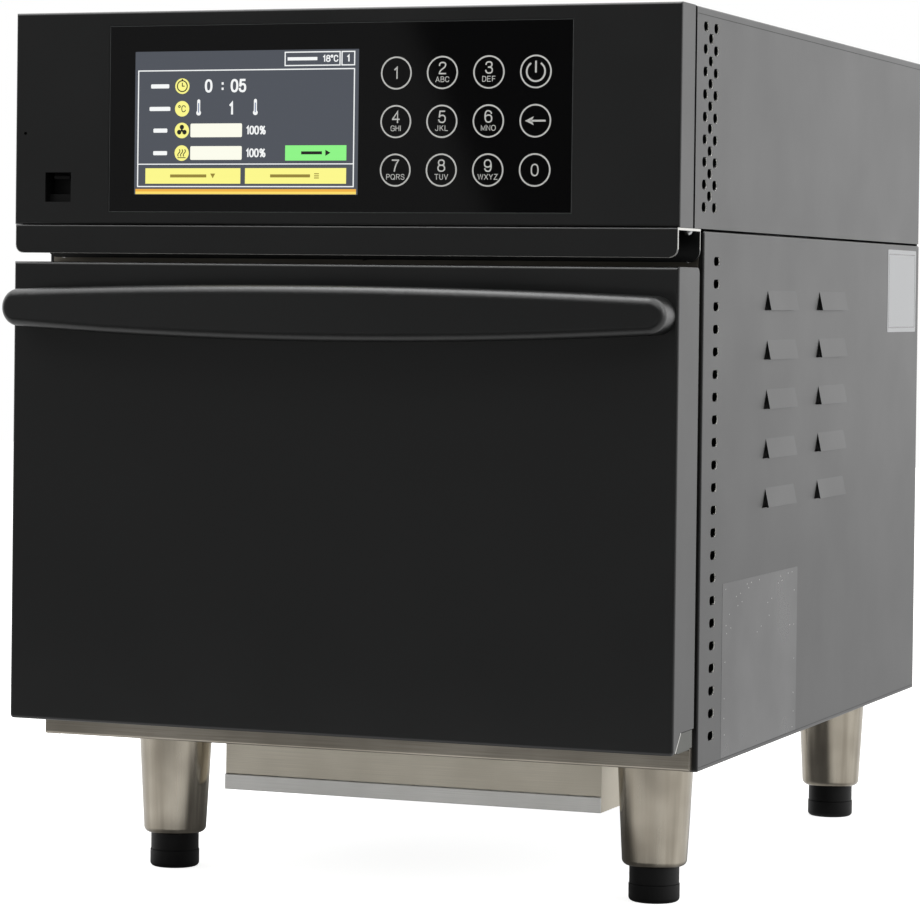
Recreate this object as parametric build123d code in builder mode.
from build123d import *
import os

# A countertop speed oven: a control head over an oven body with a drop-down door, on four legs.
# Lengths are millimetres, +Z is up and +Y runs from the front to the rear.
# The origin lies on the floor under the middle of the whole oven.

os.makedirs("parts", exist_ok=True)

# Driving sizes of the whole oven
case_width = 445
case_depth = 604
head_height = 134.7
head_gap = 1.2
body_height = 330.1
leg_height = 73
foot_shown = 23
handle_reach = 42
gland_reach = 24

# Sheet thicknesses
fascia_sheet = 1.5
cover_sheet = 1.2
panel_sheet = 1.2
frame_sheet = 1.5
pan_sheet = 1.5
door_sheet = 1.5
liner_sheet = 1

# Clearances that many pieces share
overrun = 5
running_clearance = 0.05
screw_clearance = 0.15
slide_clearance = 0.3
fit_clearance = 0.2

# Levels and depths that the pieces share
body_setback = 51
fascia_depth = 27
cover_gap = 3.5
body_bottom = foot_shown + leg_height
body_top = body_bottom + body_height
head_bottom = body_top + head_gap
head_top = head_bottom + head_height
front_y = handle_reach - (handle_reach + case_depth + gland_reach) / 2
rear_y = front_y + case_depth
rear_inner_y = rear_y - panel_sheet
body_front_y = front_y + body_setback
frame_front_y = body_front_y - frame_sheet
cover_front_y = front_y + fascia_depth + cover_gap
half_width = case_width / 2
inner_half = half_width - panel_sheet
pan_bottom = body_bottom + frame_sheet
pan_top = pan_bottom + pan_sheet

sides = ((-1, "left"), (1, "right"))


def span_box(xs, ys, zs, mode=Mode.ADD):
    """A box between two values along each axis, joined to or cut from the open part."""
    with Locations((sum(xs) / 2, sum(ys) / 2, sum(zs) / 2)):
        return Box(abs(xs[1] - xs[0]), abs(ys[1] - ys[0]), abs(zs[1] - zs[0]), mode=mode)


def mirror_span(side, near, far):
    """The span from near to far, measured outward from the middle, on one side of the oven."""
    return (side * near, side * far)


def rod(start, direction, length, radius, mode=Mode.ADD):
    """A round rod, or a round hole, from a start point along a direction."""
    with Locations(Plane(origin=start, z_dir=direction)):
        Cylinder(radius, length, align=(Align.CENTER, Align.CENTER, Align.MIN), mode=mode)


def finish(builder, name):
    """Label a finished piece and write it as a file of its own."""
    builder.part.label = name
    export_step(builder.part, f"parts/{name}.step")


# Small fasteners
screw_radius = 2
screw_head_radius = 3.8
screw_head_height = 2.2
screw_length = 9
screw_hole = screw_radius + screw_clearance


def dome_screw(place, direction, head_radius=screw_head_radius, head_height=screw_head_height):
    """A dome-headed screw: its head stands on place, its shank runs along direction."""
    dome_radius = (head_radius ** 2 + head_height ** 2) / (2 * head_height)
    head_plane = Plane(origin=place, z_dir=direction)
    profile_plane = Plane(origin=place, x_dir=head_plane.x_dir, z_dir=-head_plane.y_dir)
    with BuildSketch(profile_plane) as profile:
        with BuildLine():
            Polyline((0, -head_height), (0, screw_length), (screw_radius, screw_length),
                     (screw_radius, 0), (head_radius, 0))
            RadiusArc((head_radius, 0), (0, -head_height), dome_radius)
        make_face()
    revolve(profile.sketch, axis=Axis(place, direction))


# Control head: glass panel, display, keypad and socket places, from the left edge and the head top
glass_left = 66.5
glass_drop = 9.2
glass_width = 310
glass_height = 117.6
glass_thickness = 2
glass_gap = 0.25
glass_recess = 0.4
glass_corner = 1.5
display_left = 84.3
display_drop = 25.7
display_width = 152.4
display_height = 89.9
display_thickness = 7
display_gap = 0.1
socket_left = 21.7
socket_drop = 101.7
socket_width = 18.1
socket_height = 18.7
pinhole_left = 7.2
pinhole_drop = 76.7
pinhole_radius = 1
fascia_bend = 1.6

glass_x = (glass_left - half_width, glass_left + glass_width - half_width)
glass_z = (head_top - glass_drop - glass_height, head_top - glass_drop)
display_x = (display_left - half_width, display_left + display_width - half_width)
display_z = (head_top - display_drop - display_height, head_top - display_drop)
socket_x = (socket_left - half_width, socket_left + socket_width - half_width)
socket_z = (head_top - socket_drop - socket_height, head_top - socket_drop)
glass_front_y = front_y + glass_recess
glass_rear_y = glass_front_y + glass_thickness
fascia_rear_y = front_y + fascia_depth
fascia_back_y = front_y + fascia_sheet

# Deflector under the fascia
deflector_width = 442.8
deflector_sheet = 1.5
deflector_gap = 0.2
deflector_depth = 46.5
deflector_drop = 18.3
deflector_rear_drop = 2.2
deflector_corner = 5
deflector_rear_corner = 7
deflector_screw_inset = 5.4
deflector_screw_back = 38
deflector_screw_head = 2.8
deflector_top = head_bottom - deflector_gap
deflector_bottom = head_bottom - deflector_drop
deflector_half = deflector_width / 2
deflector_screws = [(x, front_y + deflector_screw_back) for x in
                    (deflector_screw_inset - deflector_half, 0, deflector_half - deflector_screw_inset)]

with BuildPart() as head_fascia:
    span_box((-half_width, half_width), (front_y, fascia_rear_y), (head_bottom, head_top))
    fillet(head_fascia.faces().sort_by(Axis.Y)[0].edges(), radius=fascia_bend)
    span_box((fascia_sheet - half_width, half_width - fascia_sheet),
             (fascia_back_y, fascia_rear_y + overrun),
             (head_bottom + fascia_sheet, head_top - fascia_sheet), Mode.SUBTRACT)
    span_box((glass_x[0] - glass_gap, glass_x[1] + glass_gap), (front_y - overrun, fascia_back_y),
             (glass_z[0] - glass_gap, glass_z[1] + glass_gap), Mode.SUBTRACT)
    span_box(socket_x, (front_y - overrun, fascia_back_y), socket_z, Mode.SUBTRACT)
    rod((pinhole_left - half_width, front_y - overrun, head_top - pinhole_drop), (0, 1, 0),
        overrun + fascia_sheet, pinhole_radius, Mode.SUBTRACT)
finish(head_fascia, "head_fascia")

with BuildPart() as control_glass:
    span_box(glass_x, (glass_front_y, glass_rear_y), glass_z)
    fillet(control_glass.edges().filter_by(Axis.Y), radius=glass_corner)
    span_box((display_x[0] - display_gap, display_x[1] + display_gap),
             (glass_front_y - overrun, glass_rear_y + overrun),
             (display_z[0] - display_gap, display_z[1] + display_gap), Mode.SUBTRACT)
finish(control_glass, "control_glass")

with BuildPart() as display_screen:
    span_box(display_x, (glass_front_y, glass_front_y + display_thickness), display_z)
finish(display_screen, "display_screen")

# The touch board backs the glass, carries the display and is fixed to the fascia's rear face
touch_board_border = 5
touch_board_thickness = 2

with BuildPart() as touch_board:
    span_box((glass_x[0] - touch_board_border, glass_x[1] + touch_board_border),
             (fascia_back_y, glass_rear_y + touch_board_thickness),
             (glass_z[0] - touch_board_border, glass_z[1] + touch_board_border))
    span_box((glass_x[0] - glass_gap, glass_x[1] + glass_gap), (front_y, glass_rear_y),
             (glass_z[0] - glass_gap, glass_z[1] + glass_gap), Mode.SUBTRACT)
    span_box((display_x[0] - display_gap, display_x[1] + display_gap), (front_y, fascia_rear_y),
             (display_z[0] - display_gap, display_z[1] + display_gap), Mode.SUBTRACT)
finish(touch_board, "touch_board")

# The socket's shell stands behind its window in the fascia: a pocket with a step and a tongue
socket_wall = 2
socket_depth = 14
socket_step_height = 5
socket_step_back = 5
tongue_width = 11
tongue_thickness = 2
tongue_length = 8
socket_floor_y = fascia_back_y + socket_depth - socket_wall

with BuildPart() as usb_socket:
    span_box((socket_x[0] - socket_wall, socket_x[1] + socket_wall),
             (fascia_back_y, fascia_back_y + socket_depth),
             (socket_z[0] - socket_wall, socket_z[1] + socket_wall))
    span_box(socket_x, (front_y, socket_floor_y), socket_z, Mode.SUBTRACT)
    span_box(socket_x, (fascia_back_y + socket_step_back, socket_floor_y),
             (socket_z[0], socket_z[0] + socket_step_height))
    span_box((sum(socket_x) / 2 - tongue_width / 2, sum(socket_x) / 2 + tongue_width / 2),
             (socket_floor_y - tongue_length, socket_floor_y),
             (socket_z[1] - socket_wall - tongue_thickness, socket_z[1] - socket_wall))
finish(usb_socket, "usb_socket")

# Head cover: a folded box, open below and in front, with punched holes in both sides
cover_bend = 1.4
hole_length = 10
hole_height = 6
hole_rows = 9
hole_pitch = 13.75
hole_first_drop = 11.5
hole_front_back = 49.5
hole_rear_back = 71.3

with BuildPart() as head_cover:
    span_box((-half_width, half_width), (cover_front_y, rear_y), (head_bottom, head_top))
    fillet(head_cover.faces().sort_by(Axis.Z)[-1].edges().filter_by(Axis.Y), radius=cover_bend)
    fillet(head_cover.faces().sort_by(Axis.Y)[-1].edges(), radius=cover_bend)
    span_box((cover_sheet - half_width, half_width - cover_sheet),
             (cover_front_y - overrun, rear_y - cover_sheet),
             (head_bottom - overrun, head_top - cover_sheet), Mode.SUBTRACT)
    with BuildSketch(Plane.YZ.offset(-half_width - overrun)):
        first_z = head_top - hole_first_drop
        pairs = [(front_y + back, first_z - row * hole_pitch)
                 for back in (hole_front_back, hole_rear_back) for row in range(hole_rows)]
        singles = [(front_y + (hole_front_back + hole_rear_back) / 2, first_z - (row + 0.5) * hole_pitch)
                   for row in range(hole_rows - 1)]
        with Locations(*pairs, *singles):
            SlotOverall(hole_length, hole_height)
    extrude(amount=case_width + 2 * overrun, mode=Mode.SUBTRACT)
finish(head_cover, "head_cover")

# Head floor: a tray between the cover's sides, whose front wall backs the seam behind the fascia
seam_inset = 3

with BuildPart() as head_floor:
    floor_half = half_width - cover_sheet
    span_box((-floor_half, floor_half), (fascia_rear_y, rear_y - cover_sheet),
             (head_bottom, head_bottom + cover_sheet))
    span_box((seam_inset - half_width, half_width - seam_inset),
             (fascia_rear_y, fascia_rear_y + cover_sheet), (head_bottom, head_top - seam_inset))
    for x, y in deflector_screws:
        rod((x, y, head_bottom - overrun), (0, 0, 1), overrun + cover_sheet, screw_hole, Mode.SUBTRACT)
finish(head_floor, "head_floor")

# Main board on four posts above the head floor, with its tall parts as blocks
board_width = 220
board_depth = 170
board_thickness = 1.6
board_back = 120
post_height = 9
post_radius = 3
post_inset = 8
block_height = 38
board_block_shares = [
    (-0.30, -0.25, 0.20, 0.25, 0.8),
    (0.20, -0.20, 0.30, 0.18, 0.6),
    (-0.10, 0.25, 0.35, 0.20, 0.4),
    (0.30, 0.25, 0.15, 0.25, 1.0),
]

with BuildPart() as main_board:
    board_y = front_y + board_back + board_depth / 2
    board_z = head_bottom + cover_sheet + post_height
    span_box((-board_width / 2, board_width / 2), (board_y - board_depth / 2, board_y + board_depth / 2),
             (board_z, board_z + board_thickness))
    for x_side in (-1, 1):
        for y_side in (-1, 1):
            rod((x_side * (board_width / 2 - post_inset), board_y + y_side * (board_depth / 2 - post_inset),
                 board_z - post_height), (0, 0, 1), post_height, post_radius)
    for x_share, y_share, width_share, depth_share, height_share in board_block_shares:
        x_mid = x_share * board_width
        y_mid = board_y + y_share * board_depth
        span_box((x_mid - width_share * board_width / 2, x_mid + width_share * board_width / 2),
                 (y_mid - depth_share * board_depth / 2, y_mid + depth_share * board_depth / 2),
                 (board_z, board_z + board_thickness + height_share * block_height))
finish(main_board, "main_board")

with BuildPart() as drip_deflector:
    for leg_back, low_z, corner in (
            (deflector_sheet, deflector_bottom, deflector_corner),
            (deflector_depth, deflector_bottom - deflector_rear_drop, deflector_rear_corner)):
        with BuildSketch(Plane.XZ.offset(-front_y - leg_back)) as leg_face:
            with Locations((0, (deflector_top + low_z) / 2)):
                Rectangle(deflector_width, deflector_top - low_z)
            fillet(leg_face.vertices().group_by(Axis.Y)[0], radius=corner)
        extrude(amount=deflector_sheet)
    span_box((-deflector_half, deflector_half), (front_y, front_y + deflector_depth),
             (deflector_top - deflector_sheet, deflector_top))
    top_edges = drip_deflector.edges().filter_by(Axis.X).group_by(Axis.Z)[-1]
    fillet(top_edges, radius=deflector_sheet - fit_clearance)
    for x, y in deflector_screws:
        rod((x, y, deflector_top - 2 * deflector_sheet), (0, 0, 1), 3 * deflector_sheet, screw_hole,
            Mode.SUBTRACT)
finish(drip_deflector, "drip_deflector")

# Side panels: folded sheet with a front return, top and bottom hems, slots and louvres
return_depth = 14
top_hem = 12
bottom_hem = 10
panel_drop = 1
panel_bottom = body_bottom - panel_drop
panel_bend = 1.4
slot_length = 12.5
slot_height = 5.5
slot_count = 22
slot_pitch = 13.96
slot_first_drop = 154.2
slot_back = 78.2
louvre_rows = 5
louvre_pitch = 31.9
louvre_first_drop = 172.8
louvre_height = 11.4
louvre_length = 68
louvre_shear = 7
louvre_backs = (194, 322)
louvre_lean = 2.6
frame_screw_side = 211.5
frame_screw_drop = 152
frame_screw_z = head_top - frame_screw_drop

for side, name in sides:
    with BuildPart() as side_panel:
        span_box(mirror_span(side, half_width - return_depth, half_width), (body_front_y, rear_y),
                 (panel_bottom, body_top))
        outer_face = side_panel.faces().sort_by(Axis.X)[-1 if side > 0 else 0]
        fillet(outer_face.edges().filter_by(Axis.Z).sort_by(Axis.Y)[0], radius=panel_bend)
        fillet(side_panel.edges().filter_by(Axis.Y).group_by(Axis.X)[-1 if side > 0 else 0],
               radius=panel_bend)
        span_box(mirror_span(side, half_width - return_depth - overrun, inner_half),
                 (body_front_y + panel_sheet, rear_y + overrun),
                 (panel_bottom + panel_sheet, body_top - panel_sheet), Mode.SUBTRACT)
        for hem, zs in ((top_hem, (body_top - panel_sheet, body_top)),
                        (bottom_hem, (panel_bottom, panel_bottom + panel_sheet))):
            span_box(mirror_span(side, half_width - return_depth - overrun, half_width - hem),
                     (body_front_y - overrun, rear_y + overrun), zs, Mode.SUBTRACT)
        span_box(mirror_span(side, half_width - return_depth - overrun, inner_half),
                 (rear_inner_y, rear_y + overrun), (body_bottom - overrun, body_top + overrun),
                 Mode.SUBTRACT)
        rod((side * frame_screw_side, body_front_y - overrun, frame_screw_z), (0, 1, 0), 2 * overrun,
            screw_hole, Mode.SUBTRACT)
        with BuildSketch(Plane.YZ.offset(side * inner_half - overrun)):
            with Locations(*[(front_y + slot_back, head_top - slot_first_drop - row * slot_pitch)
                             for row in range(slot_count)]):
                SlotOverall(slot_length, slot_height)
        extrude(amount=2 * overrun, mode=Mode.SUBTRACT)
        for louvre_back in louvre_backs:
            for row in range(louvre_rows):
                louvre_y = front_y + louvre_back
                louvre_z = head_top - louvre_first_drop - row * louvre_pitch
                with BuildSketch(Plane.YZ.offset(side * inner_half - overrun)):
                    with BuildLine():
                        Polyline((louvre_y, louvre_z), (louvre_y + louvre_length, louvre_z),
                                 (louvre_y + louvre_length, louvre_z - louvre_height),
                                 (louvre_y - louvre_shear, louvre_z - louvre_height), close=True)
                    make_face()
                extrude(amount=2 * overrun, mode=Mode.SUBTRACT)
                with BuildSketch(Plane.XZ.offset(-louvre_y - louvre_length)):
                    with BuildLine():
                        Polyline((side * half_width, louvre_z + panel_sheet),
                                 (side * (half_width + louvre_lean), louvre_z - louvre_height),
                                 (side * (half_width + louvre_lean - panel_sheet),
                                  louvre_z - louvre_height),
                                 (side * inner_half, louvre_z + panel_sheet), close=True)
                    make_face()
                extrude(amount=louvre_length)
    finish(side_panel, f"side_panel_{name}")

# Cavity place and size
cavity_width = 330
cavity_height = 190
cavity_depth = 330
cavity_rise = 64
cavity_bottom = body_bottom + cavity_rise
cavity_top = cavity_bottom + cavity_height
cavity_mid_z = (cavity_bottom + cavity_top) / 2
cavity_rear_y = body_front_y + cavity_depth
cavity_half = cavity_width / 2
insulation_thickness = 20
insulation_top = cavity_top + liner_sheet + insulation_thickness
insulation_bottom = cavity_bottom - liner_sheet - insulation_thickness

# Exhaust duct over the cavity, and its outlet in the rear panel
duct_width = 70
duct_height = 32
duct_wall = 1
duct_back = 200
duct_slots = 4
duct_slot_pitch = 7
duct_slot_length = 60
duct_mid_z = insulation_top + duct_height / 2

# Rear panel: between the side panels, with side flanges, outlet slots and the cable hole
rear_flange = 12
gland_radius = 10
gland_side = 160
gland_rise = 44
vent_rows = 8
vent_columns = 3
vent_length = 50
vent_height = 4
vent_pitch_x = 62
vent_pitch_z = 12
vent_rise = 190
cooling_x = 120
cooling_rise = 184
cooling_size = 120
cooling_depth = 38
cooling_hole_radius = 54
vent_ring_radius = 40
vent_ring_hole = 10
vent_ring_count = 8
vent_inner_radius = 19
vent_inner_hole = 8
vent_inner_count = 5
rear_screw_side = 200
rear_screw_inset = 20
gland_place = (-gland_side, rear_y, body_bottom + gland_rise)
cooling_z = body_bottom + cooling_rise
rear_screws = [(x, z) for x in (-rear_screw_side, 0, rear_screw_side)
               for z in (body_bottom + rear_screw_inset, head_bottom - rear_screw_inset)]

with BuildPart() as rear_panel:
    span_box((-inner_half, inner_half), (rear_inner_y - rear_flange, rear_y), (body_bottom, head_bottom))
    span_box((panel_sheet - inner_half, inner_half - panel_sheet),
             (rear_inner_y - rear_flange - overrun, rear_inner_y),
             (body_bottom - overrun, head_bottom + overrun), Mode.SUBTRACT)
    for zs in ((body_top - panel_sheet, head_bottom + overrun),
               (body_bottom - overrun, pan_top + fit_clearance)):
        span_box((-half_width, half_width), (rear_inner_y - rear_flange - overrun, rear_inner_y), zs,
                 Mode.SUBTRACT)
    for screw_x, screw_z in rear_screws:
        rod((screw_x, rear_y + overrun, screw_z), (0, -1, 0), 2 * overrun, screw_hole, Mode.SUBTRACT)
    rod((gland_place[0], gland_place[1] + overrun, gland_place[2]), (0, -1, 0), 2 * overrun,
        gland_radius + screw_clearance, Mode.SUBTRACT)
    with BuildSketch(Plane.XZ.offset(-rear_y)):
        with Locations((cooling_x, cooling_z)):
            with PolarLocations(vent_ring_radius, vent_ring_count):
                Circle(vent_ring_hole)
            with PolarLocations(vent_inner_radius, vent_inner_count):
                Circle(vent_inner_hole)
        with Locations((0, duct_mid_z)):
            with GridLocations(0, duct_slot_pitch, 1, duct_slots):
                SlotOverall(duct_slot_length, vent_height)
        with Locations((-cooling_x, body_bottom + vent_rise)):
            with GridLocations(vent_pitch_x, vent_pitch_z, vent_columns, vent_rows):
                SlotOverall(vent_length, vent_height)
    extrude(amount=overrun, mode=Mode.SUBTRACT)
finish(rear_panel, "rear_panel")

# Legs and feet stand at these four places
leg_side_inset = 54
leg_front_back = 138
leg_rear_back = 573
leg_radius_top = 24.8
leg_radius_bottom = 20.65
leg_wall = 1.5
leg_edge = 5.5
leg_stud_radius = 5
leg_stud_length = 14
nut_radius = 8
nut_height = 6
leg_places = [
    ("front_left", leg_side_inset - half_width, front_y + leg_front_back),
    ("front_right", half_width - leg_side_inset, front_y + leg_front_back),
    ("rear_left", leg_side_inset - half_width, front_y + leg_rear_back),
    ("rear_right", half_width - leg_side_inset, front_y + leg_rear_back),
]

# Filter housing place under the base
filter_width = 264
filter_back = 139
filter_depth = 184
filter_face_height = 32
filter_lip_height = 10.5
filter_sheet = 1.2
filter_half = filter_width / 2
filter_front_y = front_y + filter_back
filter_rear_y = filter_front_y + filter_depth
filter_face_bottom = body_bottom - filter_face_height
filter_bottom = filter_face_bottom - filter_lip_height
intake_columns = 9
intake_rows = 2
intake_width = 12
intake_length = 60
intake_pitch_x = 24
intake_pitch_y = 76

# Base pan: lies on the frame's lower lip, with upturned sides
pan_turnup = 14
pan_side_gap = 0.3

with BuildPart() as base_pan:
    pan_half = inner_half - pan_side_gap
    span_box((-pan_half, pan_half), (body_front_y + panel_sheet, rear_inner_y),
             (pan_bottom, pan_bottom + pan_turnup))
    span_box((pan_sheet - pan_half, pan_half - pan_sheet), (front_y, rear_y + overrun),
             (pan_top, pan_top + pan_turnup), Mode.SUBTRACT)
    for side, _ in sides:
        span_box(mirror_span(side, pan_half - pan_sheet - overrun, pan_half + overrun),
                 (rear_inner_y - rear_flange - fit_clearance, rear_y), (pan_top, pan_top + pan_turnup),
                 Mode.SUBTRACT)
    for _, leg_x, leg_y in leg_places:
        rod((leg_x, leg_y, pan_bottom - overrun), (0, 0, 1), 2 * overrun,
            leg_stud_radius + screw_clearance, Mode.SUBTRACT)
    with BuildSketch(Plane.XY.offset(pan_top)):
        with Locations((0, (filter_front_y + filter_rear_y) / 2)):
            with GridLocations(intake_pitch_x, intake_pitch_y, intake_columns, intake_rows):
                SlotOverall(intake_length, intake_width, rotation=90)
    extrude(amount=-overrun, mode=Mode.SUBTRACT)
finish(base_pan, "base_pan")

# Door hinge and interlock places, which the frame and the door share
door_drop = 158.5
door_height = 293.2
door_depth = 42
door_top = head_top - door_drop
door_bottom = door_top - door_height
door_rear_y = front_y + door_depth
door_inner_half = half_width - door_sheet
pivot_back = 30
pivot_rise = 8.7
pivot_y = front_y + pivot_back
pivot_z = door_bottom + pivot_rise
interlock_side = 190
interlock_drop = 20
interlock_z = door_top - interlock_drop
interlock_width = 4
interlock_height = 10
interlock_room = 3.5
frame_inset = 3.5
frame_lip = 17.5
rail_step = 5
rail_height = 14

# Front frame: the stainless face around the cavity, with a top flange and a lower lip
with BuildPart() as front_frame:
    frame_half = half_width - frame_inset
    span_box((-frame_half, frame_half), (frame_front_y, frame_front_y + frame_lip),
             (body_bottom, head_bottom))
    rail_front_y = frame_front_y - rail_step
    span_box((-frame_half, frame_half), (rail_front_y, body_front_y), (body_bottom, body_bottom + rail_height))
    fillet(front_frame.edges().filter_by(Axis.X).group_by(Axis.Y)[0], radius=frame_sheet)
    span_box((frame_sheet - frame_half, frame_half - frame_sheet), (rail_front_y + frame_sheet, body_front_y),
             (pan_bottom, body_bottom + rail_height - frame_sheet), Mode.SUBTRACT)
    span_box((-half_width, half_width), (body_front_y, rear_y),
             (pan_bottom, head_bottom - frame_sheet), Mode.SUBTRACT)
    for side, _ in sides:
        span_box(mirror_span(side, half_width - return_depth - fit_clearance, half_width),
                 (body_front_y, rear_y), (body_bottom - overrun, head_bottom + overrun), Mode.SUBTRACT)
    span_box((-cavity_half, cavity_half), (front_y, rear_y), (cavity_bottom, cavity_top), Mode.SUBTRACT)
    for side, _ in sides:
        span_box(mirror_span(side, interlock_side - interlock_width / 2 - interlock_room,
                             interlock_side + interlock_width / 2 + interlock_room),
                 (front_y, rear_y), (interlock_z - interlock_height / 2 - interlock_room,
                                     interlock_z + interlock_height / 2 + interlock_room), Mode.SUBTRACT)
    for screw_x in (-frame_screw_side, 0, frame_screw_side):
        rod((screw_x, frame_front_y - overrun, frame_screw_z), (0, 1, 0), 2 * overrun, screw_hole,
            Mode.SUBTRACT)
finish(front_frame, "front_frame")

# Cavity liner: an open box with a front flange that lies against the frame
liner_flange = 14
shaft_radius = 6
shaft_room = 4
feed_length = 60
feed_width = 8
feed_pitch = 20
feed_slots = 2
heater_rod_radius = 4
heater_tail_radius = 3.4
heater_ring_radius = 84
heater_terminal_side = 14
outlet_radius = 12
liner_half = cavity_half + liner_sheet
liner_rear_y = cavity_rear_y + liner_sheet
insulation_rear_y = liner_rear_y + insulation_thickness
heater_terminal_rise = (heater_ring_radius ** 2 - heater_terminal_side ** 2) ** 0.5
heater_terminals = [(x, cavity_mid_z + heater_terminal_rise)
                    for x in (-heater_terminal_side, heater_terminal_side)]

with BuildPart() as cavity_liner:
    span_box((-liner_half, liner_half), (body_front_y, liner_rear_y),
             (cavity_bottom - liner_sheet, cavity_top + liner_sheet))
    span_box((-liner_half - liner_flange, liner_half + liner_flange),
             (body_front_y, body_front_y + liner_sheet),
             (cavity_bottom - liner_sheet - liner_flange, cavity_top + liner_sheet + liner_flange))
    span_box((-cavity_half, cavity_half), (front_y, cavity_rear_y), (cavity_bottom, cavity_top),
             Mode.SUBTRACT)
    rod((0, cavity_rear_y - overrun, cavity_mid_z), (0, 1, 0), 2 * overrun, shaft_radius + shaft_room,
        Mode.SUBTRACT)
    for terminal_x, terminal_z in heater_terminals:
        rod((terminal_x, cavity_rear_y - overrun, terminal_z), (0, 1, 0), 2 * overrun,
            heater_tail_radius + fit_clearance, Mode.SUBTRACT)
    with BuildSketch(Plane.XY.offset(cavity_bottom)):
        with Locations((0, (body_front_y + cavity_rear_y) / 2)):
            with GridLocations(0, feed_pitch, 1, feed_slots):
                SlotOverall(feed_length, feed_width)
    extrude(amount=-overrun, mode=Mode.SUBTRACT)
    rod((0, front_y + duct_back, cavity_top - overrun), (0, 0, 1), 2 * overrun, outlet_radius,
        Mode.SUBTRACT)
finish(cavity_liner, "cavity_liner")

# Waveguide: a duct under the cavity, with a stub up through the insulation to the feed slots
guide_width = 86
guide_height = 34
guide_wall = 1.5
guide_front_back = 175
guide_rear_back = 556
guide_half = guide_width / 2
guide_bottom = pan_top
guide_top = guide_bottom + guide_height
stub_half_depth = feed_pitch
stub_half_width = feed_length / 2 + guide_wall + fit_clearance
cavity_mid_y = (body_front_y + cavity_rear_y) / 2

with BuildPart() as cavity_insulation:
    insulation_front_y = body_front_y + liner_sheet
    span_box((-liner_half - insulation_thickness, liner_half + insulation_thickness),
             (insulation_front_y, insulation_rear_y), (insulation_bottom, insulation_top))
    span_box((-liner_half, liner_half), (front_y, liner_rear_y),
             (cavity_bottom - liner_sheet, cavity_top + liner_sheet), Mode.SUBTRACT)
    rod((0, liner_rear_y - overrun, cavity_mid_z), (0, 1, 0), insulation_thickness + 2 * overrun,
        shaft_radius + shaft_room, Mode.SUBTRACT)
    for terminal_x, terminal_z in heater_terminals:
        rod((terminal_x, liner_rear_y - overrun, terminal_z), (0, 1, 0),
            insulation_thickness + 2 * overrun, heater_tail_radius + fit_clearance, Mode.SUBTRACT)
    rod((0, front_y + duct_back, cavity_top - overrun), (0, 0, 1), insulation_thickness + 2 * overrun,
        outlet_radius, Mode.SUBTRACT)
    span_box((-stub_half_width, stub_half_width),
             (cavity_mid_y - stub_half_depth, cavity_mid_y + stub_half_depth),
             (insulation_bottom - overrun, cavity_bottom), Mode.SUBTRACT)
finish(cavity_insulation, "cavity_insulation")

# Jet plate: a perforated false ceiling that carries hot air over the food
jet_drop = 14
jet_front_gap = 4
jet_hole_radius = 4
jet_pitch_x = 28
jet_pitch_y = 30
jet_columns = 10
jet_rows = 8
chamber_depth = 45
baffle_front_y = cavity_rear_y - chamber_depth
baffle_rear_y = baffle_front_y + liner_sheet
jet_top = cavity_top - jet_drop
jet_bottom = jet_top - liner_sheet

with BuildPart() as top_jet_plate:
    span_box((-cavity_half, cavity_half), (body_front_y + jet_front_gap, baffle_rear_y),
             (jet_bottom, cavity_top))
    span_box((liner_sheet - cavity_half, cavity_half - liner_sheet), (front_y, rear_y),
             (jet_top, cavity_top + overrun), Mode.SUBTRACT)
    with BuildSketch(Plane.XY.offset(jet_top)):
        with Locations((0, (body_front_y + jet_front_gap + baffle_rear_y) / 2)):
            with GridLocations(jet_pitch_x, jet_pitch_y, jet_columns, jet_rows):
                Circle(jet_hole_radius)
    extrude(amount=-overrun, mode=Mode.SUBTRACT)
finish(top_jet_plate, "top_jet_plate")

# Fan baffle: the cavity's perforated back wall, in front of the fan chamber
baffle_hole_radius = 5
baffle_ring_radius = 24
baffle_ring_count = 8
baffle_outer_ring_radius = 44
baffle_outer_ring_count = 14
baffle_slot_length = 60
baffle_slot_side = 130
baffle_slot_pitch = 18
baffle_slots = 3

with BuildPart() as fan_baffle:
    span_box((-cavity_half, cavity_half), (baffle_front_y, baffle_rear_y), (cavity_bottom, jet_bottom))
    with BuildSketch(Plane.XZ.offset(-baffle_rear_y)):
        with Locations((0, cavity_mid_z)):
            with PolarLocations(baffle_ring_radius, baffle_ring_count):
                Circle(baffle_hole_radius)
            with PolarLocations(baffle_outer_ring_radius, baffle_outer_ring_count):
                Circle(baffle_hole_radius)
        for side, _ in sides:
            with Locations((side * baffle_slot_side, cavity_mid_z - baffle_slot_pitch)):
                with GridLocations(baffle_slot_pitch, 0, baffle_slots, 1):
                    SlotOverall(baffle_slot_length, baffle_hole_radius * 2, rotation=90)
    extrude(amount=overrun, mode=Mode.SUBTRACT)
finish(fan_baffle, "fan_baffle")

# Heating element: a round loop about the impeller, with two ends out through the rear
heater_back_gap = 22
heater_tail = 14
heater_y = cavity_rear_y - heater_back_gap

with BuildPart() as heater_element:
    with BuildSketch(Plane(origin=(heater_ring_radius, heater_y, cavity_mid_z), z_dir=(0, 0, 1))):
        Circle(heater_rod_radius)
    revolve(axis=Axis((0, heater_y, cavity_mid_z), (0, 1, 0)))
    for terminal_x, terminal_z in heater_terminals:
        rod((terminal_x, heater_y - heater_tail_radius / 2, terminal_z), (0, 1, 0),
            insulation_rear_y + heater_tail + heater_tail_radius / 2 - heater_y, heater_tail_radius)
finish(heater_element, "heater_element")

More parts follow.
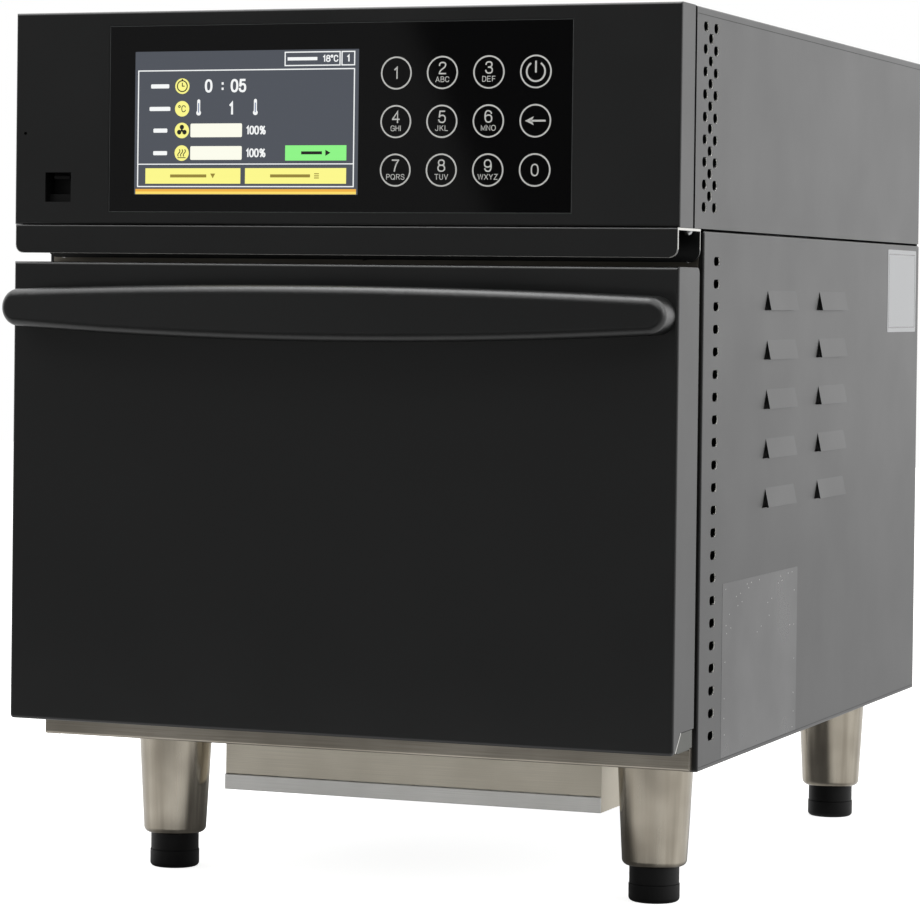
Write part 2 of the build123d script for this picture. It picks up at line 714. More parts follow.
# Hot-air impeller on its shaft, and the motor that carries the shaft
impeller_radius = 70
impeller_disc = 2
impeller_back_gap = 8
blade_depth = 24
blade_length = 36
blade_thickness = 1.6
blade_count = 10
motor_plate = 110
motor_plate_thickness = 2
motor_radius = 38
motor_length = 58
shaft_tail = 6
impeller_rear_y = cavity_rear_y - impeller_back_gap
impeller_front_y = impeller_rear_y - impeller_disc - blade_depth
motor_rear_y = insulation_rear_y + motor_plate_thickness + motor_length

with BuildPart() as impeller:
    rod((0, impeller_rear_y - impeller_disc, cavity_mid_z), (0, 1, 0), impeller_disc, impeller_radius)
    rod((0, impeller_front_y, cavity_mid_z), (0, 1, 0), motor_rear_y + shaft_tail - impeller_front_y,
        shaft_radius)
    with Locations(Plane(origin=(0, impeller_rear_y - impeller_disc / 2, cavity_mid_z), z_dir=(0, -1, 0))):
        with PolarLocations(impeller_radius - blade_length / 2, blade_count):
            Box(blade_length, blade_thickness, blade_depth + impeller_disc / 2,
                align=(Align.CENTER, Align.CENTER, Align.MIN))
finish(impeller, "impeller")

with BuildPart() as fan_motor:
    span_box((-motor_plate / 2, motor_plate / 2),
             (insulation_rear_y, insulation_rear_y + motor_plate_thickness),
             (cavity_mid_z - motor_plate / 2, cavity_mid_z + motor_plate / 2))
    rod((0, insulation_rear_y, cavity_mid_z), (0, 1, 0), motor_plate_thickness + motor_length, motor_radius)
    rod((0, insulation_rear_y - overrun, cavity_mid_z), (0, 1, 0),
        motor_plate_thickness + motor_length + 2 * overrun, shaft_radius + running_clearance, Mode.SUBTRACT)
finish(fan_motor, "fan_motor")

antenna_radius = 8
antenna_length = 20
magnetron_back = 512

with BuildPart() as waveguide:
    span_box((-guide_half, guide_half), (front_y + guide_front_back, front_y + guide_rear_back),
             (guide_bottom, guide_top))
    span_box((fit_clearance - stub_half_width, stub_half_width - fit_clearance),
             (cavity_mid_y - stub_half_depth + fit_clearance, cavity_mid_y + stub_half_depth - fit_clearance),
             (guide_bottom, cavity_bottom - liner_sheet))
    span_box((guide_wall - guide_half, guide_half - guide_wall),
             (front_y + guide_front_back + guide_wall, front_y + guide_rear_back - guide_wall),
             (guide_bottom + guide_wall, guide_top - guide_wall), Mode.SUBTRACT)
    span_box((-feed_length / 2, feed_length / 2),
             (cavity_mid_y - stub_half_depth + fit_clearance + guide_wall,
              cavity_mid_y + stub_half_depth - fit_clearance - guide_wall),
             (guide_bottom + guide_wall, cavity_bottom), Mode.SUBTRACT)
    rod((0, front_y + magnetron_back, guide_top - overrun), (0, 0, 1), 2 * overrun,
        antenna_radius + fit_clearance, Mode.SUBTRACT)
finish(waveguide, "waveguide")

# Magnetron: a finned tube between two plates, its antenna down in the waveguide
magnetron_width = 90
magnetron_depth = 78
magnetron_plate = 4
magnetron_height = 66
magnetron_core_radius = 22
fin_count = 6
fin_thickness = 1

with BuildPart() as magnetron:
    magnetron_y = (front_y + magnetron_back - magnetron_depth / 2,
                   front_y + magnetron_back + magnetron_depth / 2)
    magnetron_x = (-magnetron_width / 2, magnetron_width / 2)
    magnetron_top = guide_top + magnetron_height
    span_box(magnetron_x, magnetron_y, (guide_top, guide_top + magnetron_plate))
    span_box(magnetron_x, magnetron_y, (magnetron_top - magnetron_plate, magnetron_top))
    rod((0, front_y + magnetron_back, guide_top - antenna_length), (0, 0, 1), antenna_length, antenna_radius)
    rod((0, front_y + magnetron_back, guide_top), (0, 0, 1), magnetron_height, magnetron_core_radius)
    for fin in range(fin_count):
        fin_z = guide_top + magnetron_height * (fin + 1) / (fin_count + 1)
        span_box(magnetron_x, magnetron_y, (fin_z - fin_thickness / 2, fin_z + fin_thickness / 2))
    for x_side in (-1, 1):
        span_box((x_side * magnetron_width / 2, x_side * (magnetron_width / 2 - fin_thickness)),
                 magnetron_y, (guide_top, magnetron_top))
finish(magnetron, "magnetron")

# High-voltage transformer and capacitor stand on the base pan
transformer_x = -140
transformer_back = 470
transformer_width = 96
transformer_depth = 80
transformer_height = 82
coil_bulge = 10
coil_height = 44
capacitor_x = 130
capacitor_back = 470
capacitor_length = 62
capacitor_width = 34
capacitor_height = 96
capacitor_tab_height = 9
capacitor_tab_width = 6

with BuildPart() as hv_transformer:
    transformer_y = front_y + transformer_back
    span_box((transformer_x - transformer_width / 2, transformer_x + transformer_width / 2),
             (transformer_y - transformer_depth / 2, transformer_y + transformer_depth / 2),
             (pan_top, pan_top + transformer_height))
    coil_mid = pan_top + transformer_height / 2
    span_box((transformer_x - transformer_width / 2 + coil_bulge,
              transformer_x + transformer_width / 2 - coil_bulge),
             (transformer_y - transformer_depth / 2 - coil_bulge,
              transformer_y + transformer_depth / 2 + coil_bulge),
             (coil_mid - coil_height / 2, coil_mid + coil_height / 2))
    fillet(hv_transformer.edges().filter_by(Axis.Z).group_by(Axis.Y)[0], radius=coil_bulge / 2)
    fillet(hv_transformer.edges().filter_by(Axis.Z).group_by(Axis.Y)[-1], radius=coil_bulge / 2)
finish(hv_transformer, "hv_transformer")

with BuildPart() as hv_capacitor:
    with BuildSketch(Plane.XY.offset(pan_top)):
        with Locations((capacitor_x, front_y + capacitor_back)):
            SlotOverall(capacitor_length, capacitor_width)
    extrude(amount=capacitor_height)
    for tab_side in (-1, 1):
        tab_x = capacitor_x + tab_side * capacitor_width / 2
        span_box((tab_x - capacitor_tab_width / 2, tab_x + capacitor_tab_width / 2),
                 (front_y + capacitor_back - liner_sheet, front_y + capacitor_back + liner_sheet),
                 (pan_top, pan_top + capacitor_height + capacitor_tab_height))
finish(hv_capacitor, "hv_capacitor")

# Cooling fan: a square frame on the rear panel, and a bladed rotor on a spindle
fan_hub_radius = 19
fan_hub_depth = 14
fan_strut = 7
fan_strut_depth = 5
spindle_radius = 3
spindle_end_gap = 2
rotor_blades = 7
rotor_radius = 51
rotor_depth = 18
rotor_front_gap = 3
rotor_blade_thickness = 2
rotor_blade_pitch = 35
frame_corner = 4

with BuildPart() as cooling_fan_frame:
    span_box((cooling_x - cooling_size / 2, cooling_x + cooling_size / 2),
             (rear_inner_y - cooling_depth, rear_inner_y),
             (cooling_z - cooling_size / 2, cooling_z + cooling_size / 2))
    fillet(cooling_fan_frame.edges().filter_by(Axis.Y), radius=frame_corner)
    rod((cooling_x, rear_y, cooling_z), (0, -1, 0), 2 * cooling_depth, cooling_hole_radius, Mode.SUBTRACT)
    rod((cooling_x, rear_inner_y, cooling_z), (0, -1, 0), fan_hub_depth, fan_hub_radius)
    span_box((cooling_x - cooling_size / 2, cooling_x + cooling_size / 2),
             (rear_inner_y - fan_strut_depth, rear_inner_y),
             (cooling_z - fan_strut / 2, cooling_z + fan_strut / 2))
    span_box((cooling_x - fan_strut / 2, cooling_x + fan_strut / 2),
             (rear_inner_y - fan_strut_depth, rear_inner_y),
             (cooling_z - cooling_size / 2, cooling_z + cooling_size / 2))
    rod((cooling_x, rear_y, cooling_z), (0, -1, 0), cooling_depth, spindle_radius + running_clearance,
        Mode.SUBTRACT)
finish(cooling_fan_frame, "cooling_fan_frame")

with BuildPart() as cooling_rotor:
    rotor_front_y = rear_inner_y - cooling_depth + rotor_front_gap
    rod((cooling_x, rotor_front_y, cooling_z), (0, 1, 0), rotor_depth, fan_hub_radius)
    rod((cooling_x, rotor_front_y, cooling_z), (0, 1, 0),
        cooling_depth - rotor_front_gap - spindle_end_gap, spindle_radius)
    blade_span = rotor_radius - fan_hub_radius / 2
    with Locations(Plane(origin=(cooling_x, rotor_front_y + rotor_depth / 2, cooling_z), z_dir=(0, 1, 0))):
        with PolarLocations(rotor_radius - blade_span / 2, rotor_blades):
            Box(blade_span, rotor_blade_thickness, rotor_depth, rotation=(rotor_blade_pitch, 0, 0))
    rod((cooling_x, rear_inner_y - fan_hub_depth, cooling_z), (0, 1, 0), fan_hub_depth, rotor_radius,
        Mode.SUBTRACT)
    rod((cooling_x, rear_inner_y - fan_hub_depth - overrun, cooling_z), (0, 1, 0),
        overrun + fan_hub_depth - spindle_end_gap, spindle_radius)
finish(cooling_rotor, "cooling_rotor")

# Exhaust: a duct over the cavity, with a catalyst block in it, to the rear panel
catalyst_back = 250
catalyst_depth = 60
catalyst_hole_radius = 3
catalyst_pitch = 9
catalyst_columns = 7
catalyst_rows = 3
duct_front_gap = 40

with BuildPart() as exhaust_duct:
    duct_front_y = front_y + duct_back - duct_front_gap
    span_box((-duct_width / 2, duct_width / 2), (duct_front_y, rear_inner_y),
             (insulation_top, insulation_top + duct_height))
    span_box((duct_wall - duct_width / 2, duct_width / 2 - duct_wall), (duct_front_y + duct_wall, rear_y),
             (insulation_top + duct_wall, insulation_top + duct_height - duct_wall), Mode.SUBTRACT)
    rod((0, front_y + duct_back, insulation_top - overrun), (0, 0, 1), overrun + 2 * duct_wall,
        outlet_radius, Mode.SUBTRACT)
finish(exhaust_duct, "exhaust_duct")

with BuildPart() as catalyst_block:
    span_box((duct_wall - duct_width / 2, duct_width / 2 - duct_wall),
             (front_y + catalyst_back, front_y + catalyst_back + catalyst_depth),
             (insulation_top + duct_wall, insulation_top + duct_height - duct_wall))
    with BuildSketch(Plane.XZ.offset(-front_y - catalyst_back - catalyst_depth)):
        with Locations((0, duct_mid_z)):
            with GridLocations(catalyst_pitch, catalyst_pitch, catalyst_columns, catalyst_rows):
                Circle(catalyst_hole_radius)
    extrude(amount=catalyst_depth, mode=Mode.SUBTRACT)
finish(catalyst_block, "catalyst_block")

# Cable gland: six-sided flange and dome outside, nut inside, with a through bore
gland_flange_radius = 15
gland_flange = 6
gland_tip_radius = 8
gland_bore_radius = 4
gland_tail = 10
gland_nut_radius = 14
gland_nut = 5

with BuildPart() as cable_gland:
    gland_x, gland_y, gland_z = gland_place
    with BuildSketch(Plane.XZ.offset(-gland_y - gland_flange)):
        with Locations((gland_x, gland_z)):
            RegularPolygon(gland_flange_radius, 6)
    extrude(amount=gland_flange)
    with Locations(Plane(origin=(gland_x, gland_y + gland_flange, gland_z), z_dir=(0, 1, 0))):
        Cone(gland_radius + screw_clearance, gland_tip_radius, gland_reach - gland_flange,
             align=(Align.CENTER, Align.CENTER, Align.MIN))
    rod((gland_x, gland_y, gland_z), (0, -1, 0), panel_sheet + gland_tail, gland_radius)
    with BuildSketch(Plane.XZ.offset(-gland_y + panel_sheet)):
        with Locations((gland_x, gland_z)):
            RegularPolygon(gland_nut_radius, 6)
    extrude(amount=gland_nut)
    rod((gland_x, gland_y + gland_reach + overrun, gland_z), (0, -1, 0), gland_reach + 3 * gland_tail,
        gland_bore_radius, Mode.SUBTRACT)
finish(cable_gland, "cable_gland")

# Interlock switches: two housings behind the frame, each with a pocket for a prong
prong_reach = 11
switch_wall = 1.5
switch_depth = 30
pocket_depth = prong_reach + interlock_room
pocket_half_width = interlock_width / 2 + interlock_room
pocket_half_height = interlock_height / 2 + interlock_room

with BuildPart() as interlock_switches:
    for side, _ in sides:
        switch_x = side * interlock_side
        span_box((switch_x - pocket_half_width - switch_wall, switch_x + pocket_half_width + switch_wall),
                 (body_front_y, body_front_y + switch_depth),
                 (interlock_z - pocket_half_height - switch_wall,
                  interlock_z + pocket_half_height + switch_wall))
        span_box((switch_x - pocket_half_width, switch_x + pocket_half_width),
                 (front_y, body_front_y + pocket_depth),
                 (interlock_z - pocket_half_height, interlock_z + pocket_half_height), Mode.SUBTRACT)
finish(interlock_switches, "interlock_switches")

# Hinge brackets on the frame's face: a foot, and an ear with the eye for the hinge pin
pin_radius = 4
eye_radius = 7.5
ear_inner = 214
ear_thickness = 3
bracket_foot_inner = 200
bracket_foot_thickness = 1.5
bracket_foot_height = 26
ear_outer = ear_inner + ear_thickness

for side, name in sides:
    with BuildPart() as hinge_bracket:
        with BuildSketch(Plane.YZ.offset(min(side * ear_inner, side * ear_outer))):
            with Locations((pivot_y, pivot_z)):
                Circle(eye_radius)
            with Locations(((pivot_y + frame_front_y) / 2, pivot_z)):
                Rectangle(frame_front_y - pivot_y, 2 * eye_radius)
            with Locations((pivot_y, pivot_z)):
                Circle(pin_radius + running_clearance, mode=Mode.SUBTRACT)
        extrude(amount=ear_thickness)
        span_box(mirror_span(side, bracket_foot_inner, ear_outer),
                 (frame_front_y - bracket_foot_thickness, frame_front_y),
                 (pivot_z - eye_radius, pivot_z - eye_radius + bracket_foot_height))
    finish(hinge_bracket, f"hinge_bracket_{name}")

# Spring cartridges behind the frame, in line with the brackets
cartridge_radius = 7
cartridge_length = 90
cartridge_side = 198

with BuildPart() as hinge_springs:
    for side, _ in sides:
        rod((side * cartridge_side, body_front_y, pivot_z), (0, 1, 0), cartridge_length, cartridge_radius)
finish(hinge_springs, "hinge_springs")

# Rack guides: an angle strip on each side wall of the cavity
guide_rise = 30
guide_ledge = 11
guide_strip = 1.5
guide_strip_height = 10
guide_front_gap = 12
guide_rear_gap = 4

with BuildPart() as rack_guides:
    for side, _ in sides:
        strip_y = (body_front_y + guide_front_gap, baffle_front_y - guide_rear_gap)
        span_box(mirror_span(side, cavity_half - guide_ledge, cavity_half), strip_y,
                 (cavity_bottom + guide_rise, cavity_bottom + guide_rise + guide_strip))
        span_box(mirror_span(side, cavity_half - guide_strip, cavity_half), strip_y,
                 (cavity_bottom + guide_rise, cavity_bottom + guide_rise + guide_strip_height))
finish(rack_guides, "rack_guides")

# Wire rack: a rod frame with wires from front to rear, lying on the guides
rack_rod_radius = 2.5
rack_wire_radius = 1.5
rack_wires = 14
rack_corner = 14
rack_front_back = 76
rack_rear_gap = 9
rack_half = cavity_half - guide_strip - 2 * slide_clearance - rack_rod_radius
rack_z = cavity_bottom + guide_rise + guide_strip + slide_clearance + rack_rod_radius
rack_front_y = front_y + rack_front_back
rack_rear_y = baffle_front_y - rack_rear_gap

with BuildPart() as wire_rack:
    with BuildLine() as rack_path:
        FilletPolyline((0, rack_front_y, rack_z), (rack_half, rack_front_y, rack_z),
                       (rack_half, rack_rear_y, rack_z), (0, rack_rear_y, rack_z), radius=rack_corner)
    with BuildSketch(Plane(origin=(0, rack_front_y, rack_z), z_dir=(1, 0, 0))):
        Circle(rack_rod_radius)
    sweep(path=rack_path.line)
    mirror(about=Plane.YZ)
    for wire in range(rack_wires):
        wire_x = rack_half * (2 * (wire + 1) / (rack_wires + 1) - 1)
        rod((wire_x, rack_front_y, rack_z), (0, 1, 0), rack_rear_y - rack_front_y, rack_wire_radius)
finish(wire_rack, "wire_rack")

# Filter housing under the base: front face, side walls with inward lips, rear wall
housing_lip = 8

with BuildPart() as filter_housing:
    span_box((-filter_half, filter_half), (filter_front_y, filter_rear_y), (filter_bottom, pan_bottom))
    span_box((filter_sheet - filter_half, filter_half - filter_sheet),
             (filter_front_y + filter_sheet, filter_rear_y - filter_sheet),
             (filter_bottom + filter_sheet, pan_bottom + overrun), Mode.SUBTRACT)
    span_box((housing_lip - filter_half, filter_half - housing_lip),
             (filter_front_y - overrun, filter_rear_y - filter_sheet),
             (filter_bottom - overrun, filter_bottom + 2 * filter_sheet), Mode.SUBTRACT)
    span_box((filter_sheet - filter_half, filter_half - filter_sheet),
             (filter_front_y - overrun, filter_front_y + overrun),
             (filter_bottom + filter_sheet, filter_face_bottom), Mode.SUBTRACT)
finish(filter_housing, "filter_housing")

# Filter tray: a front lip and a frame that slides on the housing's lips, round the mesh
tray_lip_sheet = 1.2
tray_rim = 10
tray_height = 6.5
tray_side_gap = 0.5
tray_rear_gap = 2
mesh_thickness = 2
mesh_hole = 8
mesh_pitch = 11
mesh_columns = 20
mesh_rows = 14
tray_half = filter_half - filter_sheet - tray_side_gap
tray_front_y = filter_front_y - slide_clearance
tray_rear_y = filter_rear_y - filter_sheet - tray_rear_gap
tray_bottom = filter_bottom + filter_sheet + slide_clearance

with BuildPart() as filter_tray:
    span_box((-filter_half, filter_half), (tray_front_y - tray_lip_sheet, tray_front_y),
             (filter_bottom, filter_face_bottom - slide_clearance))
    fillet(filter_tray.edges().filter_by(Axis.X).group_by(Axis.Y)[0], radius=tray_lip_sheet / 2)
    span_box((-tray_half, tray_half), (tray_front_y, tray_rear_y), (tray_bottom, tray_bottom + tray_height))
    span_box((tray_rim - tray_half, tray_half - tray_rim), (tray_front_y + tray_rim, tray_rear_y - tray_rim),
             (filter_bottom, pan_bottom), Mode.SUBTRACT)
finish(filter_tray, "filter_tray")

with BuildPart() as filter_mesh:
    mesh_z = tray_bottom + (tray_height - mesh_thickness) / 2
    span_box((tray_rim - tray_half, tray_half - tray_rim), (tray_front_y + tray_rim, tray_rear_y - tray_rim),
             (mesh_z, mesh_z + mesh_thickness))
    with BuildSketch(Plane.XY.offset(mesh_z + mesh_thickness)):
        with Locations((0, (tray_front_y + tray_rear_y) / 2)):
            with GridLocations(mesh_pitch, mesh_pitch, mesh_columns, mesh_rows):
                Rectangle(mesh_hole, mesh_hole)
    extrude(amount=-mesh_thickness, mode=Mode.SUBTRACT)
finish(filter_mesh, "filter_mesh")

# Legs: hollow tapered tubes under the pan, with a stud above and a nut plate below
leg_top_plate = 3
nut_plate_recess = 2
nut_plate_thickness = 8
foot_stud_radius = 6
foot_collar_radius = 16
foot_pad_radius = 16.4
foot_pad_height = 12
foot_edge = 2.8
foot_groove = 0.6
foot_stud_length = 32
leg_corner_share = 0.9
recess_radius = foot_collar_radius + slide_clearance
nut_plate_bottom = foot_shown + nut_plate_recess
nut_plate_top = nut_plate_bottom + nut_plate_thickness
leg_corner = min(leg_edge, leg_corner_share * (leg_radius_bottom - recess_radius))

for name, leg_x, leg_y in leg_places:
    with BuildPart() as leg:
        with BuildSketch(Plane.XZ.offset(-leg_y)) as leg_profile:
            with BuildLine():
                Polyline((leg_x, pan_bottom), (leg_x + leg_radius_top, pan_bottom),
                         (leg_x + leg_radius_bottom, foot_shown), (leg_x + recess_radius, foot_shown),
                         (leg_x + recess_radius, nut_plate_bottom),
                         (leg_x + foot_stud_radius + running_clearance, nut_plate_bottom),
                         (leg_x + foot_stud_radius + running_clearance, nut_plate_top),
                         (leg_x + leg_radius_bottom - leg_wall, nut_plate_top),
                         (leg_x + leg_radius_top - leg_wall, pan_bottom - leg_top_plate),
                         (leg_x, pan_bottom - leg_top_plate), close=True)
            make_face()
            fillet(leg_profile.vertices().group_by(Axis.Y)[0].sort_by(Axis.X)[-1], radius=leg_corner)
        revolve(axis=Axis((leg_x, leg_y, 0), (0, 0, 1)))
        rod((leg_x, leg_y, pan_bottom - leg_top_plate), (0, 0, 1), leg_top_plate + leg_stud_length,
            leg_stud_radius)
    finish(leg, f"leg_{name}")

    with BuildPart() as foot:
        with BuildSketch(Plane.XZ.offset(-leg_y)) as foot_profile:
            with BuildLine():
                Polyline((leg_x, 0), (leg_x + foot_pad_radius, 0),
                         (leg_x + foot_pad_radius, foot_pad_height - foot_groove),
                         (leg_x + foot_collar_radius - foot_groove, foot_pad_height - foot_groove),
                         (leg_x + foot_collar_radius - foot_groove, foot_pad_height),
                         (leg_x + foot_collar_radius, foot_pad_height),
                         (leg_x + foot_collar_radius, nut_plate_bottom),
                         (leg_x + foot_stud_radius, nut_plate_bottom),
                         (leg_x + foot_stud_radius, nut_plate_bottom + foot_stud_length),
                         (leg_x, nut_plate_bottom + foot_stud_length), close=True)
            make_face()
            fillet(foot_profile.vertices().group_by(Axis.Y)[0].sort_by(Axis.X)[-1], radius=foot_edge)
        revolve(axis=Axis((leg_x, leg_y, 0), (0, 0, 1)))
    finish(foot, f"foot_{name}")

with BuildPart() as leg_nuts:
    for _, leg_x, leg_y in leg_places:
        with BuildSketch(Plane.XY.offset(pan_top)):
            with Locations((leg_x, leg_y)):
                RegularPolygon(nut_radius, 6)
                Circle(leg_stud_radius + running_clearance, mode=Mode.SUBTRACT)
        extrude(amount=nut_height)
finish(leg_nuts, "leg_nuts")

# Case screws: under the deflector, on the front frame and on the rear panel
with BuildPart() as case_screws:
    for x, y in deflector_screws:
        dome_screw((x, y, deflector_top - deflector_sheet), (0, 0, 1),
                   deflector_screw_head, deflector_screw_head)
    for screw_x in (-frame_screw_side, 0, frame_screw_side):
        dome_screw((screw_x, frame_front_y, frame_screw_z), (0, 1, 0))
    for screw_x, screw_z in rear_screws:
        dome_screw((screw_x, rear_y, screw_z), (0, -1, 0))
finish(case_screws, "case_screws")

# Door: folded skin, open to the rear, cut away at its lower corners for the hinge plates
door_bend = 2
door_corner = 2.4
door_hinge_cut = 12.7
door_hinge_cut_low = 3
door_hinge_cut_high = 14.5
door_top_flange = 30
door_top_corner = 4
notch_inner = 210
handle_rise_mid = 16
handle_sag_mid = 18.3
handle_height_end = 23.5
handle_end_length = 10
handle_width = 441.5
handle_drop = 187.9
handle_end_reach = 23
handle_grip_thickness = 16
handle_foot = 26
handle_edge = 6
handle_corner = 8
handle_screw_side = 207
handle_screw_pitch = 12
handle_z = head_top - handle_drop
handle_half = handle_width / 2
handle_screws_at = [(x, handle_z + z) for x in (-handle_screw_side, handle_screw_side)
                    for z in (-handle_screw_pitch / 2, handle_screw_pitch / 2)]

with BuildPart() as door_skin:
    span_box((-half_width, half_width), (front_y, door_rear_y), (door_bottom, door_top))
    fillet(door_skin.edges().filter_by(Axis.Y).group_by(Axis.Z)[0], radius=door_corner)
    fillet(door_skin.faces().sort_by(Axis.Y)[0].edges(), radius=door_bend)
    span_box((-door_inner_half, door_inner_half), (front_y + door_sheet, door_rear_y + overrun),
             (door_bottom + door_sheet, door_top - door_sheet), Mode.SUBTRACT)
    span_box((-door_inner_half, door_inner_half), (front_y + door_top_flange, door_rear_y + overrun),
             (door_top - door_sheet, door_top + overrun), Mode.SUBTRACT)
    corner_edges = door_skin.edges().filter_by(Axis.X).group_by(Axis.Y)[-1].group_by(Axis.Z)[-1]
    fillet(corner_edges, radius=door_top_corner)
    for side, _ in sides:
        with BuildSketch(Plane.YZ.offset(side * notch_inner)):
            with BuildLine():
                Polyline((front_y + door_hinge_cut_low, door_bottom - overrun),
                         (front_y + door_hinge_cut_low, door_bottom),
                         (front_y + door_hinge_cut_high, door_bottom + door_hinge_cut),
                         (door_rear_y + overrun, door_bottom + door_hinge_cut),
                         (door_rear_y + overrun, door_bottom - overrun), close=True)
            make_face()
        extrude(amount=side * (half_width + overrun - notch_inner), mode=Mode.SUBTRACT)
    for screw_x, screw_z in handle_screws_at:
        rod((screw_x, front_y + overrun, screw_z), (0, -1, 0), 2 * overrun, screw_hole, Mode.SUBTRACT)
finish(door_skin, "door_skin")

# Door inner pan: closes the door's rear, with a raised middle that faces the cavity
inner_pan_sheet = 1.5
inner_pan_rise = 24
raised_border = 18
raised_depth = 5.5
inner_pan_bottom = door_bottom + inner_pan_rise
raised_rear_y = door_rear_y + raised_depth
raised_half = cavity_half + raised_border

with BuildPart() as door_inner_pan:
    span_box((-door_inner_half, door_inner_half), (door_rear_y - inner_pan_sheet, door_rear_y),
             (inner_pan_bottom, door_top - door_top_corner))
    span_box((-raised_half, raised_half), (door_rear_y - inner_pan_sheet, raised_rear_y),
             (cavity_bottom - raised_border, cavity_top + raised_border))
    fillet(door_inner_pan.faces().sort_by(Axis.Y)[-1].edges(), radius=inner_pan_sheet)
    span_box((inner_pan_sheet - raised_half, raised_half - inner_pan_sheet),
             (front_y, raised_rear_y - inner_pan_sheet),
             (cavity_bottom - raised_border + inner_pan_sheet, cavity_top + raised_border - inner_pan_sheet),
             Mode.SUBTRACT)
finish(door_inner_pan, "door_inner_pan")

gasket_outer_border = 14
gasket_inner_border = 3
gasket_thickness = 1.7
choke_border = 1.5
choke_thickness = 1.5

with BuildPart() as door_gasket:
    with BuildSketch(Plane.XZ.offset(-raised_rear_y)):
        with Locations((0, cavity_mid_z)):
            RectangleRounded(cavity_width + 2 * gasket_outer_border, cavity_height + 2 * gasket_outer_border,
                             gasket_outer_border)
            Rectangle(cavity_width + 2 * gasket_inner_border, cavity_height + 2 * gasket_inner_border,
                      mode=Mode.SUBTRACT)
    extrude(amount=-gasket_thickness)
finish(door_gasket, "door_gasket")

with BuildPart() as choke_cover:
    with BuildSketch(Plane.XZ.offset(-raised_rear_y)):
        with Locations((0, cavity_mid_z)):
            Rectangle(cavity_width + 2 * choke_border, cavity_height + 2 * choke_border)
    extrude(amount=-choke_thickness)
finish(choke_cover, "choke_cover")

insulation_side_gap = 17
insulation_front_gap = 6
insulation_low_gap = 5
insulation_top_gap = 8

with BuildPart() as door_insulation:
    span_box((insulation_side_gap - half_width, half_width - insulation_side_gap),
             (front_y + insulation_front_gap, door_rear_y - inner_pan_sheet),
             (inner_pan_bottom + insulation_low_gap, door_top - door_top_corner - insulation_top_gap))
finish(door_insulation, "door_insulation")

# Handle: a moulded bow, deepest in the middle, whose ends run straight back to the door
straight_half = handle_half - handle_end_length

with BuildPart() as handle:
    with BuildSketch(Plane.XY.offset(handle_z - handle_reach)):
        with BuildLine():
            Line((-handle_half, front_y), (-handle_half, front_y - handle_end_reach))
            ThreePointArc((-handle_half, front_y - handle_end_reach), (0, front_y - handle_reach),
                          (handle_half, front_y - handle_end_reach))
            Polyline((handle_half, front_y - handle_end_reach), (handle_half, front_y),
                     (handle_half - handle_foot, front_y))
            ThreePointArc((handle_half - handle_foot, front_y),
                          (0, front_y - handle_reach + handle_grip_thickness),
                          (handle_foot - handle_half, front_y))
            Line((handle_foot - handle_half, front_y), (-handle_half, front_y))
        make_face()
    extrude(amount=2 * handle_reach)
    with BuildSketch(Plane.XZ.offset(-front_y)) as handle_outline:
        with BuildLine():
            ThreePointArc((-straight_half, handle_z + handle_height_end / 2),
                          (0, handle_z + handle_rise_mid),
                          (straight_half, handle_z + handle_height_end / 2))
            ThreePointArc((straight_half, handle_z + handle_height_end / 2), (handle_half, handle_z),
                          (straight_half, handle_z - handle_height_end / 2))
            ThreePointArc((straight_half, handle_z - handle_height_end / 2),
                          (0, handle_z - handle_sag_mid),
                          (-straight_half, handle_z - handle_height_end / 2))
            ThreePointArc((-straight_half, handle_z - handle_height_end / 2), (-handle_half, handle_z),
                          (-straight_half, handle_z + handle_height_end / 2))
        make_face()
        fillet(handle_outline.vertices(), radius=handle_corner)
    extrude(amount=handle_reach + overrun, mode=Mode.INTERSECT)
    fillet(handle.faces().sort_by(Axis.Y)[0].outer_wire().edges(), radius=handle_edge)
    for screw_x, screw_z in handle_screws_at:
        rod((screw_x, front_y + overrun, screw_z), (0, -1, 0), overrun + screw_length, screw_hole,
            Mode.SUBTRACT)
finish(handle, "handle")

with BuildPart() as handle_screws:
    for screw_x, screw_z in handle_screws_at:
        dome_screw((screw_x, front_y + door_sheet, screw_z), (0, -1, 0))
finish(handle_screws, "handle_screws")

# Hinge plates inside the door's lower corners, and the pins that join them to the brackets
hinge_plate_sheet = 1.5
hinge_plate_front = 6
hinge_plate_slant = 7
hinge_plate_rear_gap = 2
hinge_plate_height = 54
hinge_pad_edge = 1
hinge_pad_low = 1.5
hinge_pad_inset = 0.3
pin_flange_radius = 6.5
pin_flange = 2
pin_tip = 1
plate_outer = door_inner_half
plate_inner = plate_outer - hinge_plate_sheet

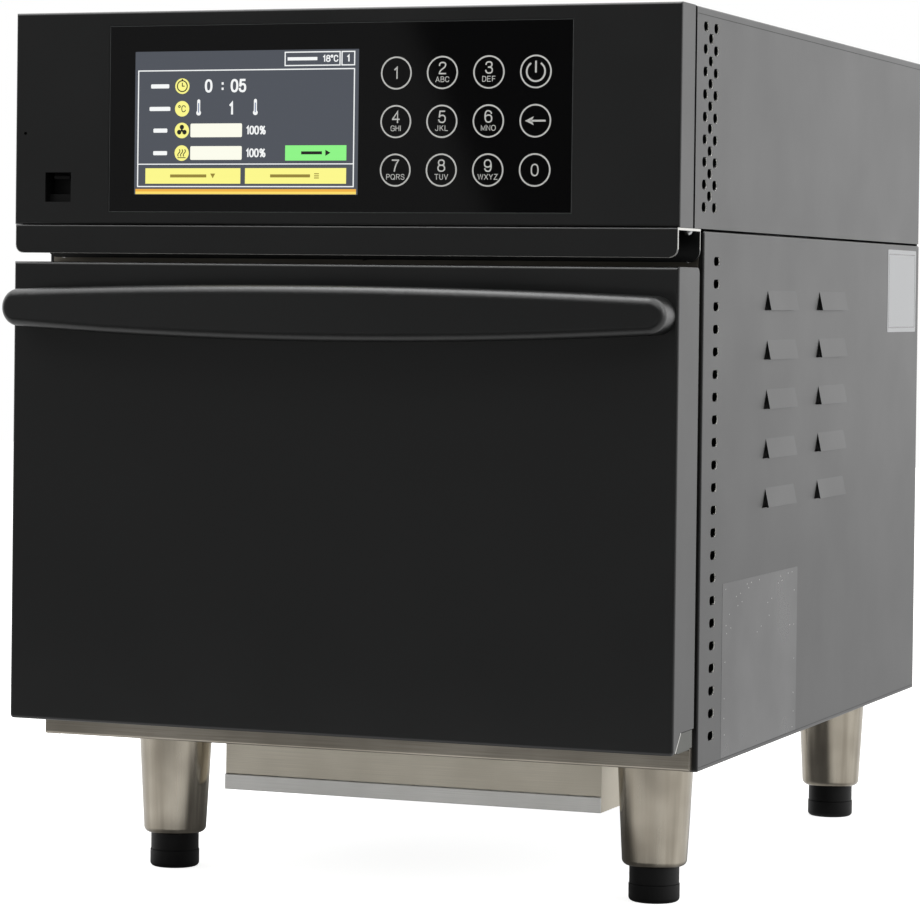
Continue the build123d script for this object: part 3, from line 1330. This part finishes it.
for side, name in sides:
    with BuildPart() as hinge_plate:
        with BuildSketch(Plane.YZ.offset(min(side * plate_inner, side * plate_outer))):
            with BuildLine():
                Polyline((front_y + hinge_plate_front + hinge_plate_slant, door_bottom),
                         (door_rear_y - inner_pan_sheet - hinge_plate_rear_gap, door_bottom),
                         (door_rear_y - inner_pan_sheet - hinge_plate_rear_gap,
                          door_bottom + hinge_plate_height),
                         (front_y + hinge_plate_front, door_bottom + hinge_plate_height),
                         (front_y + hinge_plate_front, door_bottom + hinge_plate_slant), close=True)
            make_face()
            with Locations((pivot_y, pivot_z)):
                Circle(pin_radius + running_clearance, mode=Mode.SUBTRACT)
        extrude(amount=hinge_plate_sheet)
        with BuildSketch(Plane.YZ.offset(side * plate_outer)):
            with BuildLine():
                Polyline((front_y + door_hinge_cut_low + 2 * hinge_pad_edge, door_bottom + hinge_pad_low),
                         (front_y + door_hinge_cut_high + hinge_pad_edge,
                          door_bottom + door_hinge_cut - hinge_pad_inset),
                         (door_rear_y - inner_pan_sheet - hinge_plate_rear_gap,
                          door_bottom + door_hinge_cut - hinge_pad_inset),
                         (door_rear_y - inner_pan_sheet - hinge_plate_rear_gap,
                          door_bottom + hinge_pad_low), close=True)
            make_face()
        extrude(amount=side * door_sheet)
    finish(hinge_plate, f"hinge_plate_{name}")

with BuildPart() as hinge_pins:
    for side, _ in sides:
        rod((side * plate_outer, pivot_y, pivot_z), (-side, 0, 0), plate_outer - ear_inner + pin_tip,
            pin_radius)
        rod((side * plate_inner, pivot_y, pivot_z), (-side, 0, 0), pin_flange, pin_flange_radius)
finish(hinge_pins, "hinge_pins")

# Interlock prongs on the inner pan reach through the frame into the switches
prong_foot = 2
prong_foot_border = 4

with BuildPart() as interlock_pins:
    for side, _ in sides:
        prong_x = side * interlock_side
        span_box((prong_x - interlock_width / 2 - prong_foot_border,
                  prong_x + interlock_width / 2 + prong_foot_border),
                 (door_rear_y, door_rear_y + prong_foot),
                 (interlock_z - interlock_height / 2 - prong_foot_border,
                  interlock_z + interlock_height / 2 + prong_foot_border))
        span_box((prong_x - interlock_width / 2, prong_x + interlock_width / 2),
                 (door_rear_y, body_front_y + prong_reach),
                 (interlock_z - interlock_height / 2, interlock_z + interlock_height / 2))
finish(interlock_pins, "interlock_pins")
